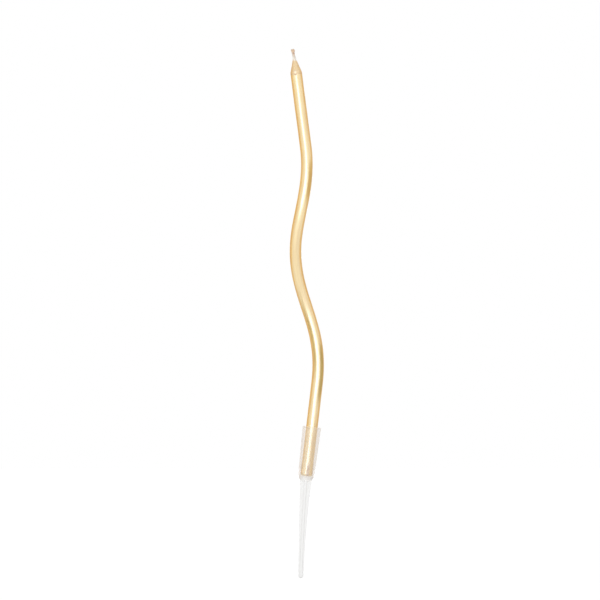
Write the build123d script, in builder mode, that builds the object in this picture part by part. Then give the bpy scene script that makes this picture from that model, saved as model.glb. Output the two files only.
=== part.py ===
from build123d import *

import os
from math import atan2, ceil, cos, pi, radians, sin, sqrt, tan

# Spiral birthday candle standing in its cake holder: millimetres, +Z up.
# The origin lies on the cup's axis where the spike leaves the cup, level with the top of the icing.
# The cup leans to the right and back, so that the wick's tip comes to stand over the spike's point.

# Rod: cotton wick, wax and gold overdip
candle_diameter = 4.8
coat_thickness = 0.2
wick_diameter = 1.2
wick_sides = 8
foot_rounding = 0.8

# Route of the rod: straight foot, winding, straight tip
foot_length = 39.2
winding_radius = 3.47
winding_pitch = 84.0
winding_turns = 1.166
winding_start = -43.2
tip_length = 31.9

# Top of the candle
cone_length = 6.0
wax_top_diameter = 1.4
bare_wax_length = 1.4
coat_edge_thickness = 0.13
wick_free_length = 4.1

# Cup of the holder
cup_lean_right = 6.73
cup_lean_back = 2.86
rim_diameter = 7.65
cup_base_diameter = 6.5
cup_height = 20.1
cup_wall = 0.6
rim_chamfer = 0.2
shoulder_height = 2.15
shoulder_end_diameter = 4.8
floor_height = 1.7

# Grip ribs inside the cup
rib_count = 4
rib_width = 1.0
rib_grip_height = 4.1
rib_lead_height = 3.4
rib_start = -81.0

# Cake spike: four fins that narrow to a round point and bow to the right
spike_length = 40.6
spike_top_width = 4.7
spike_middle_width = 2.9
spike_end_width = 2.06
fin_thickness = 1.0
bow_middle = 1.1
bow_end = 2.65

# Fits
grip_clearance = 0.05
seat_clearance = 0.1

candle_radius = candle_diameter / 2
core_radius = candle_radius - coat_thickness
wick_radius = wick_diameter / 2

# The cup's frame: z up its axis, x to the right in the upright X-Z plane
origin = Vector(0, 0, 0)
cup_axis = Vector(tan(radians(cup_lean_right)), tan(radians(cup_lean_back)), 1).normalized()
cup_right = Vector(0, 1, 0).cross(cup_axis).normalized()
cup_line = Axis(origin, cup_axis)
rim_height = shoulder_height + cup_height

# The winding's frame: its axis is tipped from the foot by the pitch angle, so the foot leaves it tangent
foot_seat = cup_axis * (floor_height + seat_clearance)
foot_end = foot_seat + cup_axis * foot_length
pitch_angle = atan2(2 * pi * winding_radius, winding_pitch)
winding_out = cup_right.rotate(cup_line, winding_start)
winding_axis = cup_axis * cos(pitch_angle) - cup_axis.cross(winding_out) * sin(pitch_angle)
winding_round = winding_axis.cross(winding_out)
winding_centre = foot_end - winding_out * winding_radius


def winding_place(turn):
    """Point and direction of the rod's centreline after so many turns of its helix."""
    angle = 2 * pi * turn
    outwards = winding_out * cos(angle) + winding_round * sin(angle)
    onwards = winding_round * cos(angle) - winding_out * sin(angle)
    point = winding_centre + outwards * winding_radius + winding_axis * (winding_pitch * turn)
    return point, winding_axis * cos(pitch_angle) + onwards * sin(pitch_angle)


def biarc_joint(start, start_direction, end, end_direction):
    """Point where two arcs meet that leave both ends tangent, with equal tangent lengths."""
    chord = end - start
    reach = chord.dot(start_direction + end_direction)
    spread = 2 * (1 - start_direction.dot(end_direction))
    length = (sqrt(reach**2 + spread * chord.dot(chord)) - reach) / spread
    return (start + end + (start_direction - end_direction) * length) / 2


# The helix is cut into spans of at most a quarter turn, each one a pair of arcs
span_count = ceil(4 * winding_turns)
winding_places = [winding_place(winding_turns * span / span_count) for span in range(span_count + 1)]
tip_start, tip_axis = winding_places[-1]
cone_base = tip_start + tip_axis * tip_length


def draw_centreline(start_height, end_height):
    """Draw the rod's centreline, from a height above its foot to a height above the cone's base."""
    Line(foot_seat + cup_axis * start_height, foot_end)
    for (start, start_direction), (end, end_direction) in zip(winding_places, winding_places[1:]):
        joint = biarc_joint(start, start_direction, end, end_direction)
        first = TangentArc(start, joint, tangent=start_direction)
        TangentArc(joint, end, tangent=first % 1)
    Line(tip_start, cone_base + tip_axis * end_height)


def half_plane(base, axis, right):
    """Plane through an axis for a turned profile: sketch x runs outwards, sketch y along the axis."""
    return Plane(origin=base, x_dir=right, z_dir=right.cross(axis))


foot_plane = half_plane(foot_seat, cup_axis, cup_right)
foot_section = Plane(origin=foot_seat, x_dir=cup_right, z_dir=cup_axis)
tip_right = Vector(0, 1, 0).cross(tip_axis).normalized()
tip_plane = half_plane(cone_base, tip_axis, tip_right)
tip_line = Axis(cone_base, tip_axis)

# Wick: one plied cord through the whole candle, from the wax's foot to its free end
with BuildPart() as wick:
    with BuildLine() as wick_route:
        draw_centreline(coat_thickness, cone_length + wick_free_length)
    with BuildSketch(foot_section.offset(coat_thickness)) as wick_section:
        RegularPolygon(wick_radius, wick_sides)
    sweep(path=wick_route.line)
wick.part.label = "wick"

# The chamfer under the wax touches the round that keeps the coat's thickness at the foot's edge
foot_chamfer = (foot_rounding - coat_thickness) * (2 - sqrt(2))
chamfer_top = coat_thickness + foot_chamfer

# Wax core: chamfered foot, wound rod and cone, cast round the wick
with BuildPart() as wax_core:
    with BuildSketch(foot_plane):
        with BuildLine():
            Polyline(
                (0, coat_thickness),
                (core_radius - foot_chamfer, coat_thickness),
                (core_radius, chamfer_top),
                (0, chamfer_top),
                close=True,
            )
        make_face()
    revolve(axis=cup_line)
    with BuildLine() as wax_route:
        draw_centreline(chamfer_top, 0)
    with BuildSketch(foot_section.offset(chamfer_top)):
        Circle(core_radius)
    sweep(path=wax_route.line)
    with BuildSketch(tip_plane):
        with BuildLine():
            Polyline(
                (0, 0),
                (core_radius, 0),
                (wax_top_diameter / 2, cone_length),
                (0, cone_length),
                close=True,
            )
        make_face()
    revolve(axis=tip_line)
    add(wick.part, mode=Mode.SUBTRACT)
wax_core.part.label = "wax_core"

# Gold coat: a film round the wax, closed under the foot and open a little below the wick
coated_cone = cone_length - bare_wax_length
wax_radius_at_edge = core_radius + (wax_top_diameter / 2 - core_radius) * coated_cone / cone_length
with BuildPart() as gold_coat:
    with BuildSketch(foot_plane):
        with BuildLine():
            foot_arc = CenterArc((candle_radius - foot_rounding, foot_rounding), foot_rounding, -90, 90)
            Polyline(
                foot_arc @ 1,
                (core_radius, foot_rounding),
                (core_radius, chamfer_top),
                (core_radius - foot_chamfer, coat_thickness),
                (0, coat_thickness),
                (0, 0),
                foot_arc @ 0,
            )
        make_face()
    revolve(axis=cup_line)
    with BuildLine() as coat_route:
        draw_centreline(foot_rounding, 0)
    with BuildSketch(foot_section.offset(foot_rounding)):
        Circle(candle_radius)
        Circle(core_radius, mode=Mode.SUBTRACT)
    sweep(path=coat_route.line)
    with BuildSketch(tip_plane):
        with BuildLine():
            Polyline(
                (core_radius, 0),
                (candle_radius, 0),
                (wax_radius_at_edge + coat_edge_thickness, coated_cone),
                (wax_radius_at_edge, coated_cone),
                close=True,
            )
        make_face()
    revolve(axis=tip_line)
gold_coat.part.label = "gold_coat"

# Holder: bowed cake spike, turned cup and grip ribs, moulded in one
cup_front = half_plane(origin, cup_axis, cup_right)
cup_side = half_plane(origin, cup_axis, cup_axis.cross(cup_right))
spike_round = spike_end_width / 2
spike_straight = spike_length - spike_round


def draw_fin_outline(bowed):
    """Draw a fin's outline down the cup's axis: two hollow sides and a round point."""
    middle = bow_middle * bowed
    end = bow_end * bowed
    right = ThreePointArc(
        (spike_top_width / 2, 0),
        (middle + spike_middle_width / 2, -spike_straight / 2),
        (end + spike_round, -spike_straight),
    )
    point = ThreePointArc(right @ 1, (end, -spike_length), (end - spike_round, -spike_straight))
    left = ThreePointArc(
        point @ 1, (middle - spike_middle_width / 2, -spike_straight / 2), (-spike_top_width / 2, 0)
    )
    Line(left @ 1, right @ 0)


with BuildPart() as candle_holder:
    # The fin from front to back is a strip along the bow, cut to the fin's outline
    with BuildSketch(cup_front):
        with BuildLine():
            strip_right = ThreePointArc(
                (fin_thickness / 2, 0),
                (bow_middle + fin_thickness / 2, -spike_straight / 2),
                (bow_end + fin_thickness / 2, -spike_straight),
            )
            strip_left = ThreePointArc(
                (bow_end - fin_thickness / 2, -spike_straight),
                (bow_middle - fin_thickness / 2, -spike_straight / 2),
                (-fin_thickness / 2, 0),
            )
            Polyline(
                strip_right @ 1,
                (bow_end + fin_thickness / 2, -spike_length),
                (bow_end - fin_thickness / 2, -spike_length),
                strip_left @ 0,
            )
            Line(strip_left @ 1, strip_right @ 0)
        make_face()
    extrude(amount=spike_top_width, both=True)
    with BuildSketch(cup_side):
        with BuildLine():
            draw_fin_outline(bowed=0)
        make_face()
    extrude(amount=spike_top_width + bow_end, both=True, mode=Mode.INTERSECT)
    with BuildSketch(cup_front):
        with BuildLine():
            draw_fin_outline(bowed=1)
        make_face()
    extrude(amount=fin_thickness / 2, both=True)

    # The cup's wall flares to the rim, and its shoulder slopes in to the spike
    bore_base_radius = cup_base_diameter / 2 - cup_wall
    bore_rim_radius = rim_diameter / 2 - cup_wall
    with BuildSketch(cup_front) as cup_profile:
        with BuildLine():
            Polyline(
                (0, 0),
                (shoulder_end_diameter / 2, 0),
                (cup_base_diameter / 2, shoulder_height),
                (rim_diameter / 2, rim_height),
                (bore_rim_radius, rim_height),
                (bore_base_radius, floor_height),
                (0, floor_height),
                close=True,
            )
        make_face()
        chamfer(cup_profile.vertices().group_by(Axis.Y)[-1], rim_chamfer)
    revolve(axis=cup_line)

    # Each rib grips the candle near the floor, and its lead-in fades into the wall above
    bore_slope = (bore_rim_radius - bore_base_radius) / (rim_height - floor_height)
    grip_radius = candle_radius + grip_clearance
    rib_height = rib_grip_height + rib_lead_height
    for number in range(rib_count):
        turn = rib_start + 360 * number / rib_count
        with BuildSketch(half_plane(origin, cup_axis, cup_right.rotate(cup_line, turn))):
            with BuildLine():
                Polyline(
                    (grip_radius, floor_height),
                    (grip_radius, floor_height + rib_grip_height),
                    (bore_base_radius + bore_slope * rib_height, floor_height + rib_height),
                    (bore_base_radius + bore_slope * rib_height + cup_wall / 2, floor_height + rib_height),
                    (bore_base_radius + cup_wall / 2, floor_height),
                    close=True,
                )
            make_face()
        extrude(amount=rib_width / 2, both=True)
candle_holder.part.label = "candle_holder"

os.makedirs("parts", exist_ok=True)
for piece in (wick, wax_core, gold_coat, candle_holder):
    export_step(piece.part, f"parts/{piece.part.label}.step")

route_length = wick_route.wires()[0].length
print("wick length", round(route_length, 2), "volume over section times length",
      round(wick.part.volume / (wick_section.sketch.area * route_length), 5))
print("wick tip", cone_base + tip_axis * (cone_length + wick_free_length))
print("rod bends at least", round(min(arc.radius for arc in wick_route.edges().filter_by(GeomType.CIRCLE)), 2))
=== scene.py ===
"""A wound birthday candle in its cake holder: gold overdip, bare wax, cotton wick and clear plastic."""

import logging
import math
from abc import ABC, abstractmethod
from dataclasses import dataclass, field
from enum import Enum

import bpy
import numpy as np
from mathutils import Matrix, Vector


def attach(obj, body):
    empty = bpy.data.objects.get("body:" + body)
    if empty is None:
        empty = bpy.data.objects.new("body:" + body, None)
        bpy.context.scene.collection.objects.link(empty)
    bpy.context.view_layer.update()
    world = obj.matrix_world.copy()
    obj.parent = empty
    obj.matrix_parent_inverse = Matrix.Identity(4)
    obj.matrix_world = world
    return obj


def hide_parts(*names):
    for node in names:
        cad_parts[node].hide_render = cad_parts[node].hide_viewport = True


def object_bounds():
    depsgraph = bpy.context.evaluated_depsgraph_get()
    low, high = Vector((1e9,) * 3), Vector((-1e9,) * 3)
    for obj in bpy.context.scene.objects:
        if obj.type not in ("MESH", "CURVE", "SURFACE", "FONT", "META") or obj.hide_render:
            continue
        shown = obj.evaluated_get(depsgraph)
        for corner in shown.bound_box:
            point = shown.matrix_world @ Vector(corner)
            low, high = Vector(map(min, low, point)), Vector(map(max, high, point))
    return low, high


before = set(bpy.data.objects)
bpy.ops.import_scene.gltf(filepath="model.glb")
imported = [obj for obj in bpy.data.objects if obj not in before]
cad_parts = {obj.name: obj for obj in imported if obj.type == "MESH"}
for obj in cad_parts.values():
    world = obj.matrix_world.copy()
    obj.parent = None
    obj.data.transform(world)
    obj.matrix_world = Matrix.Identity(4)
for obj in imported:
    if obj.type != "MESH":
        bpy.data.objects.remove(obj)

cad_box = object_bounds()

log = logging.getLogger("candle")

MM = 0.001
BACKWARDS = np.array([0.0, 1.0, 0.0])

Band = tuple[float, float]
Triple = tuple[float, float, float]
Colour = tuple[float, float, float, float]


class Body(Enum):
    """The two bodies that pull apart."""

    HOLDER = "holder"
    CANDLE = "candle"


class Slot(Enum):
    """The material slots, by name."""

    COTTON = "cotton"
    WAX = "wax"
    GOLD = "gold_overdip"
    PLASTIC = "clear_plastic"


def paint(red: int, green: int, blue: int) -> Colour:
    """Linear colour of a display colour given in steps of 0 to 255, by the standard display curve.

    Args:
        red, green, blue: the display colour's channels.

    Returns:
        The colour as a shader socket takes it, with full alpha.
    """
    share = np.array([red, green, blue]) / 255
    linear = np.where(share <= 0.04045, share / 12.92, ((share + 0.055) / 1.055) ** 2.4)
    return (*linear.tolist(), 1.0)


def unit(vectors: np.ndarray) -> np.ndarray:
    """Vectors along the last axis, divided by their lengths."""
    return vectors / np.linalg.norm(vectors, axis=-1, keepdims=True)


def ease(values: np.ndarray, low: float, high: float) -> np.ndarray:
    """Rise smoothly from 0 at low to 1 at high: t * t * (3 - 2t) of the share t of the way.

    Args:
        values: the numbers to ease.
        low: where the rise starts.
        high: where it ends.

    Returns:
        Numbers from 0 to 1, as many as were given.
    """
    share = np.clip((values - low) / (high - low), 0, 1)
    return share * share * (3 - 2 * share)


def bell(values: np.ndarray, width: float) -> np.ndarray:
    """A bump of height 1 about zero: e to the minus (value / width) squared."""
    return np.exp(-((values / width) ** 2))


def round_line(
    centre: np.ndarray, onward: np.ndarray, radius: np.ndarray, angle: np.ndarray
) -> np.ndarray:
    """Points round a line: centre + radius * (right * cos angle + back * sin angle).

    Args:
        centre: points of the line.
        onward: its unit directions there.
        radius: distances from the line.
        angle: angles round it, 0 to the right and a quarter turn to the back.

    Returns:
        Points, for the arrays spread to one shape.
    """
    right = unit(np.cross(BACKWARDS, onward))
    back = np.cross(onward, right)
    spoke = right * np.cos(angle)[..., None] + back * np.sin(angle)[..., None]
    return centre + spoke * radius[..., None]


def placed(name: str, data: bpy.types.ID) -> bpy.types.Object:
    """A new object with that data, in the scene."""
    made = bpy.data.objects.new(name, data)
    bpy.context.scene.collection.objects.link(made)
    return made


class Value:
    """A shader socket for Python expressions: each operator adds one Math node."""

    def __init__(self, graph: "Graph", socket: bpy.types.NodeSocket) -> None:
        """Keep the socket and the graph that holds it."""
        self.graph = graph
        self.socket = socket

    def math(self, operation: str, first: "Feed", second: "Feed") -> "Value":
        """Add one Math node.

        Args:
            operation: the Math node's operation.
            first, second: what its two sockets take.

        Returns:
            The node's result.
        """
        return self.graph.add("ShaderNodeMath", {"operation": operation}, {0: first, 1: second})

    def __add__(self, other: "Feed") -> "Value":
        """Sum."""
        return self.math("ADD", self, other)

    __radd__ = __add__

    def __sub__(self, other: "Feed") -> "Value":
        """Difference."""
        return self.math("SUBTRACT", self, other)

    def __rsub__(self, other: "Feed") -> "Value":
        """Difference from a number."""
        return self.math("SUBTRACT", other, self)

    def __mul__(self, other: "Feed") -> "Value":
        """Product."""
        return self.math("MULTIPLY", self, other)

    __rmul__ = __mul__

    def __or__(self, other: "Feed") -> "Value":
        """The larger of the two, which joins masks."""
        return self.math("MAXIMUM", self, other)

    def sharpened(self, contrast: float) -> "Value":
        """A noise spread about its middle: its distance from a half times the contrast, plus a half."""
        return self * contrast - (contrast - 1) / 2


Feed = Value | float | Colour | Triple


class Graph:
    """The shader nodes of one material or of the world."""

    def __init__(self, owner: bpy.types.Material | bpy.types.World) -> None:
        """Start an empty node tree on the owner."""
        owner.use_nodes = True
        self.tree = owner.node_tree
        self.tree.nodes.clear()

    def add(
        self,
        kind: str,
        settings: dict[str, object] | None = None,
        feeds: dict[int | str, Feed] | None = None,
        out: int | str = 0,
    ) -> Value:
        """Add one node.

        Args:
            kind: the node's type.
            settings: its settings by name, set before anything is linked.
            feeds: what its sockets take, by name or number: a number, a colour, a vector or a value.
            out: the output that is wanted.

        Returns:
            That output, for use in expressions.
        """
        node = self.tree.nodes.new(kind)
        for name, setting in (settings or {}).items():
            setattr(node, name, setting)
        for name, feed in (feeds or {}).items():
            if isinstance(feed, Value):
                self.tree.links.new(feed.socket, node.inputs[name])
            else:
                node.inputs[name].default_value = feed
        return Value(self, node.outputs[out] if node.outputs else None)

    def mix(self, share: Feed, first: Feed, second: Feed) -> Value:
        """Colour that goes from the first to the second as the share goes from 0 to 1."""
        return self.add("ShaderNodeMix", {"data_type": "RGBA"}, {0: share, 6: first, 7: second}, 2)

    def reading(self, name: str) -> Value:
        """The piece's own attribute of that name, as a number."""
        return self.add("ShaderNodeAttribute", {"attribute_name": name}, out="Fac")

    def noise(self, name: str, cells: Triple, detail: float, roughness: float = 0.5) -> Value:
        """Cloudy noise from 0 to 1 over the piece's own coordinates.

        Args:
            name: the vector attribute that holds the coordinates.
            cells: how many cells go to a metre along the three axes.
            detail: how many finer layers the noise has.
            roughness: how strong each finer layer is beside the one before.

        Returns:
            The noise.
        """
        place = self.add("ShaderNodeAttribute", {"attribute_name": name}, out="Vector")
        scaled = self.add("ShaderNodeVectorMath", {"operation": "MULTIPLY"}, {0: place, 1: cells})
        feeds = {"Vector": scaled, "Scale": 1.0, "Detail": detail, "Roughness": roughness}
        return self.add("ShaderNodeTexNoise", feeds=feeds)

    def bump(self, height: Value, distance: float, strength: float) -> Value:
        """Normal of a surface raised by the height times the distance."""
        feeds = {"Height": height, "Distance": distance, "Strength": strength}
        return self.add("ShaderNodeBump", feeds=feeds)

    def shown(self) -> Value:
        """1 for rays that show the surroundings: to the camera, in gloss and through clear pieces."""
        kinds = ("Is Camera Ray", "Is Glossy Ray", "Is Transmission Ray")
        camera, gloss, clear = (self.add("ShaderNodeLightPath", out=kind) for kind in kinds)
        return camera | gloss | clear


class Finish(ABC):
    """A finish of one piece: a material whose Principled shader each kind feeds in its own way."""

    name: str

    @abstractmethod
    def sockets(self, graph: Graph) -> dict[int | str, Feed]:
        """What the Principled shader's sockets take, by name."""

    def material(self) -> bpy.types.Material:
        """Make the material.

        Returns:
            The material, with its nodes linked up.
        """
        material = bpy.data.materials.new(self.name)
        graph = Graph(material)
        shader = graph.add("ShaderNodeBsdfPrincipled", feeds=self.sockets(graph))
        graph.add("ShaderNodeOutputMaterial", feeds={"Surface": shader})
        return material


@dataclass(frozen=True)
class GoldOverdip(Finish):
    """Pearl gold film: gold mica under a white pearl gloss, dull where the cone was trimmed."""

    name: str = "gold_overdip"
    bright: Colour = paint(252, 218, 118)
    deep: Colour = paint(222, 178, 58)
    trimmed: Colour = paint(221, 183, 118)
    # Pale colour where the film wears thin at its edge, and painted highlight on the tongues' crests.
    pale_wear_and_highlight: Colour = paint(246, 228, 204)
    # Painted shade: a dark brown laid into the creased border of the cone.
    crease: Colour = paint(150, 98, 30)
    pearl_ior: float = 4.2
    flakes_per_metre: float = 5200.0
    streaks_per_metre: float = 1500.0
    streak_length: float = 26.0
    clouds_per_metre: Triple = (220.0, 220.0, 90.0)
    flake_share: float = 0.2
    streak_share: float = 0.65
    cloud_share: float = 0.15
    film_contrast: float = 3.0
    cut_contrast: float = 1.6
    # Least share of the pale colour, for the edge's wear and the crests' painted highlight alike.
    least_wear_and_highlight: float = 0.5
    roughness: float = 0.31
    flake_roughness: float = 0.13
    cut_roughness: float = 0.24
    crease_roughness: float = 0.3
    flake_relief: float = 0.5
    streak_relief: float = 0.5
    cut_relief: float = 2.0
    relief_height: float = 0.03 * MM
    relief_strength: float = 0.25

    def sockets(self, graph: Graph) -> dict[int | str, Feed]:
        """Flakes and lengthwise streaks in the rod's straightened coordinates, so they follow its bends.

        Args:
            graph: the material's graph.

        Returns:
            What the Principled shader's sockets take, by name.
        """
        trimmed = graph.reading("trimmed")
        crease = graph.reading("crease")
        thin = graph.reading("thin")
        fine = self.flakes_per_metre
        across = self.streaks_per_metre
        flakes = graph.noise("straight", (fine, fine, fine), detail=2.0, roughness=0.6)
        along = across / self.streak_length
        streaks = graph.noise("straight", (across, across, along), detail=3.0)
        clouds = graph.noise("straight", self.clouds_per_metre, detail=2.0)
        shade = flakes * self.flake_share + streaks * self.streak_share + clouds * self.cloud_share
        film = graph.mix(shade.sharpened(self.film_contrast), self.deep, self.bright)
        cut = graph.mix(streaks.sharpened(self.cut_contrast), self.deep, self.trimmed)
        skin = graph.mix(trimmed, film, cut)
        # Paler where the film wears thin at its edge, and a painted highlight on the tongues' crests.
        worn_and_highlit = graph.mix(thin * (self.least_wear_and_highlight + streaks), skin, self.pale_wear_and_highlight)
        # Painted shade: the creased border is darkened in the base colour.
        darkened = graph.mix(crease, worn_and_highlit, self.crease)
        dull = self.roughness + flakes * self.flake_roughness + trimmed * self.cut_roughness
        relief = flakes * self.flake_relief + streaks * (self.streak_relief + trimmed * self.cut_relief)
        return {
            "Base Color": darkened,
            "Roughness": dull + crease * self.crease_roughness,
            "IOR": self.pearl_ior,
            "Normal": graph.bump(relief, self.relief_height, self.relief_strength),
        }


@dataclass(frozen=True)
class Paraffin(Finish):
    """White candle wax, a little see-through."""

    name: str = "paraffin"
    clear: Colour = paint(255, 250, 241)
    cloudy: Colour = paint(249, 238, 222)
    clouds_per_metre: Triple = (900.0, 900.0, 500.0)
    contrast: float = 1.8
    roughness: float = 0.38
    cloud_roughness: float = 0.2
    depth_weight: float = 0.15
    depth_colour: Triple = (1.0, 0.8, 0.6)
    depth: float = 0.6 * MM
    relief_height: float = 0.05 * MM
    relief_strength: float = 0.4

    def sockets(self, graph: Graph) -> dict[int | str, Feed]:
        """Faint clouds and a soft surface.

        Args:
            graph: the material's graph.

        Returns:
            What the Principled shader's sockets take, by name.
        """
        clouds = graph.noise("straight", self.clouds_per_metre, detail=3.0)
        return {
            "Base Color": graph.mix(clouds.sharpened(self.contrast), self.cloudy, self.clear),
            "Roughness": self.roughness + clouds * self.cloud_roughness,
            "Subsurface Weight": self.depth_weight,
            "Subsurface Radius": self.depth_colour,
            "Subsurface Scale": self.depth,
            "Normal": graph.bump(clouds, self.relief_height, self.relief_strength),
        }


@dataclass(frozen=True)
class PliedCotton(Finish):
    """Waxed cotton yarn, stained tan at its free end."""

    name: str = "plied_cotton"
    pale: Colour = paint(246, 236, 222)
    shaded: Colour = paint(226, 209, 193)
    tan: Colour = paint(246, 224, 198)
    brown: Colour = paint(222, 186, 154)
    scorched: Colour = paint(168, 118, 92)
    fibres_per_metre: Triple = (16000.0, 16000.0, 1500.0)
    contrast: float = 1.8
    scorch: float = 0.8
    roughness: float = 0.7
    fibre_roughness: float = 0.25
    sheen: float = 0.25
    sheen_roughness: float = 0.4
    relief_height: float = 0.04 * MM
    relief_strength: float = 0.8

    def sockets(self, graph: Graph) -> dict[int | str, Feed]:
        """Fibres in the strand's own coordinates, drawn out along the strand.

        Args:
            graph: the material's graph.

        Returns:
            What the Principled shader's sockets take, by name.
        """
        stain = graph.reading("stain")
        fibres = graph.noise("strand", self.fibres_per_metre, detail=3.0)
        share = fibres.sharpened(self.contrast)
        plain = graph.mix(share, self.shaded, self.pale)
        darkened = graph.mix(share, self.brown, self.tan)
        dyed = graph.mix(stain, plain, darkened)
        return {
            "Base Color": graph.mix(graph.reading("spot") * self.scorch, dyed, self.scorched),
            "Roughness": self.roughness + fibres * self.fibre_roughness,
            "Sheen Weight": self.sheen,
            "Sheen Roughness": self.sheen_roughness,
            "Normal": graph.bump(fibres, self.relief_height, self.relief_strength),
        }


@dataclass(frozen=True)
class FrostedPlastic(Finish):
    """Natural polypropylene: thin walls are see-through with a milky haze, thick ones whiter."""

    name: str = "frosted_plastic"
    # The wall colour is warm with painted light from the gold inside; the solid colour has none.
    wall: Colour = paint(251, 243, 233)
    solid: Colour = paint(254, 254, 253)
    # Painted shade: a darker pink-grey for the ribs inside the cup, which sit dim against the candle.
    rib_shade: Colour = paint(190, 158, 148)
    ior: float = 1.49
    light_passed: float = 0.92
    lines_per_metre: float = 700.0
    line_length: float = 30.0
    grain_per_metre: float = 900.0
    least_warmth: float = 0.8
    line_warmth: float = 0.4
    least_haze: float = 0.93
    line_haze: float = 0.12
    slant_haze: float = 0.1
    edge_clearing: float = 0.6
    roughness: float = 0.5
    grain_roughness: float = 0.2
    line_relief: float = 0.7
    grain_relief: float = 0.3
    relief_height: float = 0.03 * MM
    relief_strength: float = 0.12

    def sockets(self, graph: Graph) -> dict[int | str, Feed]:
        """Haze from the moulding's own milk field, and drag lines in the cup's upright coordinates.

        The haze clears at the grazing edges of thick parts, and hardly shades what stands behind it.

        Args:
            graph: the material's graph.

        Returns:
            What the Principled shader's sockets take, by name.
        """
        across = self.lines_per_metre
        fine = self.grain_per_metre
        along = across / self.line_length
        lines = graph.noise("upright", (across, across, along), detail=3.0)
        grain = graph.noise("upright", (fine, fine, fine), detail=2.0)
        milk = graph.reading("milk")
        warm = graph.reading("warm")
        ribs = graph.reading("ribs")
        slant = graph.add("ShaderNodeLayerWeight", feeds={"Blend": 0.5}, out="Facing")
        # Painted warm light from the gold inside, on the cup and not the spike, varied along the drag lines.
        body = graph.mix(warm * (self.least_warmth + lines * self.line_warmth), self.solid, self.wall)
        wall_haze = milk * (self.least_haze + lines * self.line_haze + slant * self.slant_haze)
        clearing = graph.reading("thick") * slant * slant * self.edge_clearing
        haze = graph.add("ShaderNodeClamp", feeds={"Value": wall_haze - clearing})
        straight_light = graph.add("ShaderNodeLightPath", out="Is Shadow Ray")
        soft_light = graph.add("ShaderNodeLightPath", out="Is Diffuse Ray")
        lit_through = (straight_light | soft_light) * self.light_passed
        relief = lines * self.line_relief + grain * self.grain_relief
        return {
            # Painted shade on the ribs, mixed in by the ribs field.
            "Base Color": graph.mix(ribs, body, self.rib_shade),
            "Roughness": self.roughness + grain * self.grain_roughness,
            "IOR": self.ior,
            "Alpha": haze * (1.0 - lit_through),
            "Normal": graph.bump(relief, self.relief_height, self.relief_strength),
        }


@dataclass(frozen=True)
class Surface:
    """A closed surface: its points, its faces by point number in blocks, and values at its points."""

    points: np.ndarray
    faces: list[np.ndarray]
    fields: dict[str, np.ndarray]

    @staticmethod
    def quads(rows: int, columns: int, wrap: bool) -> np.ndarray:
        """Quads of a grid whose columns close on themselves.

        Quad (i, j) joins points (i, j), (i, j + 1), (i + 1, j + 1) and (i + 1, j), counted round.

        Args:
            rows, columns: the grid's size.
            wrap: whether the last row joins the first.

        Returns:
            Four point numbers for each quad.
        """
        row = np.arange(rows if wrap else rows - 1)[:, None]
        above = (row + 1) % rows * columns
        column = np.arange(columns)[None, :]
        beside = (column + 1) % columns
        row = row * columns
        return np.stack([row + column, row + beside, above + beside, above + column], -1).reshape(-1, 4)

    @classmethod
    def capped(cls, grid: np.ndarray, fields: dict[str, np.ndarray]) -> "Surface":
        """Close a grid of rings with a fan of triangles at each end, about the mean of the end ring.

        Args:
            grid: points, rows by columns by 3, with the rows going up the outside.
            fields: values at the same points, rows by columns, or by 3 for vectors.

        Returns:
            The closed surface.
        """
        rows, columns = grid.shape[:2]
        first = rows * columns
        column = np.arange(columns)
        beside = (column + 1) % columns
        low = np.stack([np.full(columns, first), beside, column], -1)
        top = (rows - 1) * columns
        high = np.stack([np.full(columns, first + 1), top + column, top + beside], -1)
        faces = [cls.quads(rows, columns, False), low, high]

        def with_ends(values: np.ndarray) -> np.ndarray:
            """The grid's values in one list, followed by the means of its first and last rows."""
            tail = values.shape[2:]
            return np.concatenate([values.reshape(-1, *tail), values[[0, -1]].mean(1)])

        return cls(with_ends(grid), faces, {name: with_ends(values) for name, values in fields.items()})

    @classmethod
    def looped(cls, grid: np.ndarray, fields: dict[str, np.ndarray]) -> "Surface":
        """Close a grid of rings by joining its last ring to its first, as round a bore.

        Args:
            grid: points, rows by columns by 3.
            fields: values at the same points.

        Returns:
            The closed surface.
        """
        rows, columns = grid.shape[:2]
        flat = {name: values.reshape(-1, *values.shape[2:]) for name, values in fields.items()}
        return cls(grid.reshape(-1, 3), [cls.quads(rows, columns, True)], flat)

    @classmethod
    def joined(cls, surfaces: list["Surface"]) -> "Surface":
        """Several surfaces as one, with their points numbered on.

        Args:
            surfaces: surfaces with the same fields.

        Returns:
            One surface of them all.
        """
        faces: list[np.ndarray] = []
        first = 0
        for surface in surfaces:
            faces += [block + first for block in surface.faces]
            first += len(surface.points)
        fields = {name: np.concatenate([s.fields[name] for s in surfaces]) for name in surfaces[0].fields}
        return cls(np.concatenate([s.points for s in surfaces]), faces, fields)

    def piece(
        self, name: str, material: bpy.types.Material, body: Body, slot: Slot, node: str
    ) -> bpy.types.Object:
        """Make the surface a piece that rides on a body and stands for a CAD node.

        Args:
            name: the piece's name.
            material: its finish.
            body: the body that it moves with.
            slot: a material slot; not used.
            node: the CAD node that it replaces.

        Returns:
            The Blender object.
        """
        mesh = bpy.data.meshes.new(name)
        mesh.from_pydata(self.points.tolist(), [], sum((block.tolist() for block in self.faces), []))
        for key, values in self.fields.items():
            kind, member = ("FLOAT_VECTOR", "vector") if values.ndim == 2 else ("FLOAT", "value")
            attribute = mesh.attributes.new(key, kind, "POINT")
            attribute.data.foreach_set(member, values.astype(np.float32).ravel())
        mesh.shade_smooth()
        mesh.materials.append(material)
        made = placed(name, mesh)
        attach(made, body.value)
        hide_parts(node)
        log.info("%s: %d points, %d faces, for %s", name, len(self.points), len(mesh.polygons), node)
        return made


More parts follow.
